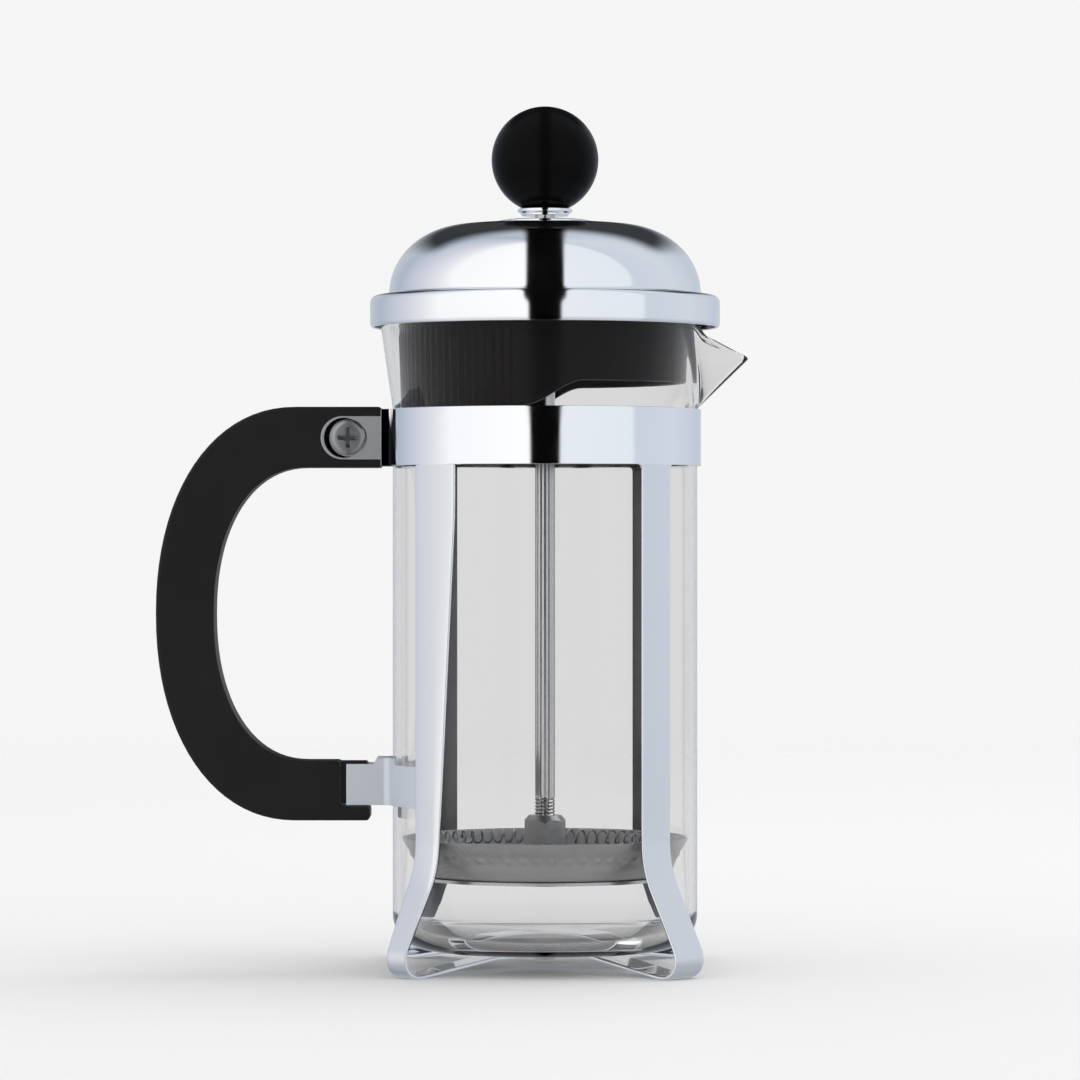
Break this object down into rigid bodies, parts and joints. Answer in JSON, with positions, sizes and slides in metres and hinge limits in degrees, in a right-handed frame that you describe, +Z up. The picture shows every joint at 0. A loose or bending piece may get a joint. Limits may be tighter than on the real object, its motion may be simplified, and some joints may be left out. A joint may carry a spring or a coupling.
{
  "type": "french press",
  "caption": "Plunger coffee maker: glass beaker in a chromed strap frame with a black loop handle, domed lid and ball knob.",
  "frame": {"origin": "on the beaker's axis, in the plane that the four feet stand on", "axes": "+Z up along the plunger, +X to the spout, -X to the handle, the head of the handle's screw faces -Y"},
  "size_m": [0.1358, 0.0804, 0.198],
  "materials": {
    "chrome": "mirror-polished chrome plate",
    "steel": "drawn and pressed stainless steel",
    "mesh_steel": "fine woven stainless wire cloth",
    "screw_steel": "grey nickel-plated steel",
    "handle_plastic": "black moulded plastic, satin, finely textured",
    "insert_plastic": "brown-black moulded plastic",
    "knob_plastic": "polished black plastic",
    "glass": "clear borosilicate glass"
  },
  "bodies": {
    "stand": {"frame_band": "chrome", "leg_strap_a": "chrome", "leg_strap_b": "chrome", "base_rivet": "steel", "handle_bracket": "chrome", "handle": "handle_plastic", "handle_screw": "screw_steel", "handle_nut": "screw_steel", "glass_beaker": "glass"},
    "lid_bush": {"guide_bush": "chrome", "bush_nut": "steel"},
    "lid": {"lid_dome": "chrome", "lid_insert": "insert_plastic"},
    "plunger": {"plunger_knob": "knob_plastic", "knob_collar": "chrome", "plunger_rod": "steel", "hub_nut": "steel", "spiral_plate": "steel", "spiral_spring": "steel", "filter_mesh": "mesh_steel", "cross_plate": "steel", "piston_nut": "steel"}
  },
  "joints": [
    {"name": "lid_lift", "type": "slide", "parent": "stand", "child": "lid_bush", "axis": [0, 0, 1], "range_m": [0, 0.135]},
    {"name": "lid_turn", "type": "hinge", "parent": "lid_bush", "child": "lid", "pos_m": [0, 0, 0.15], "axis": [0, 0, 1], "continuous": true},
    {"name": "plunger_slide", "type": "slide", "parent": "lid_bush", "child": "plunger", "axis": [0, 0, 1], "range_m": [0, 0.092]}
  ]
}
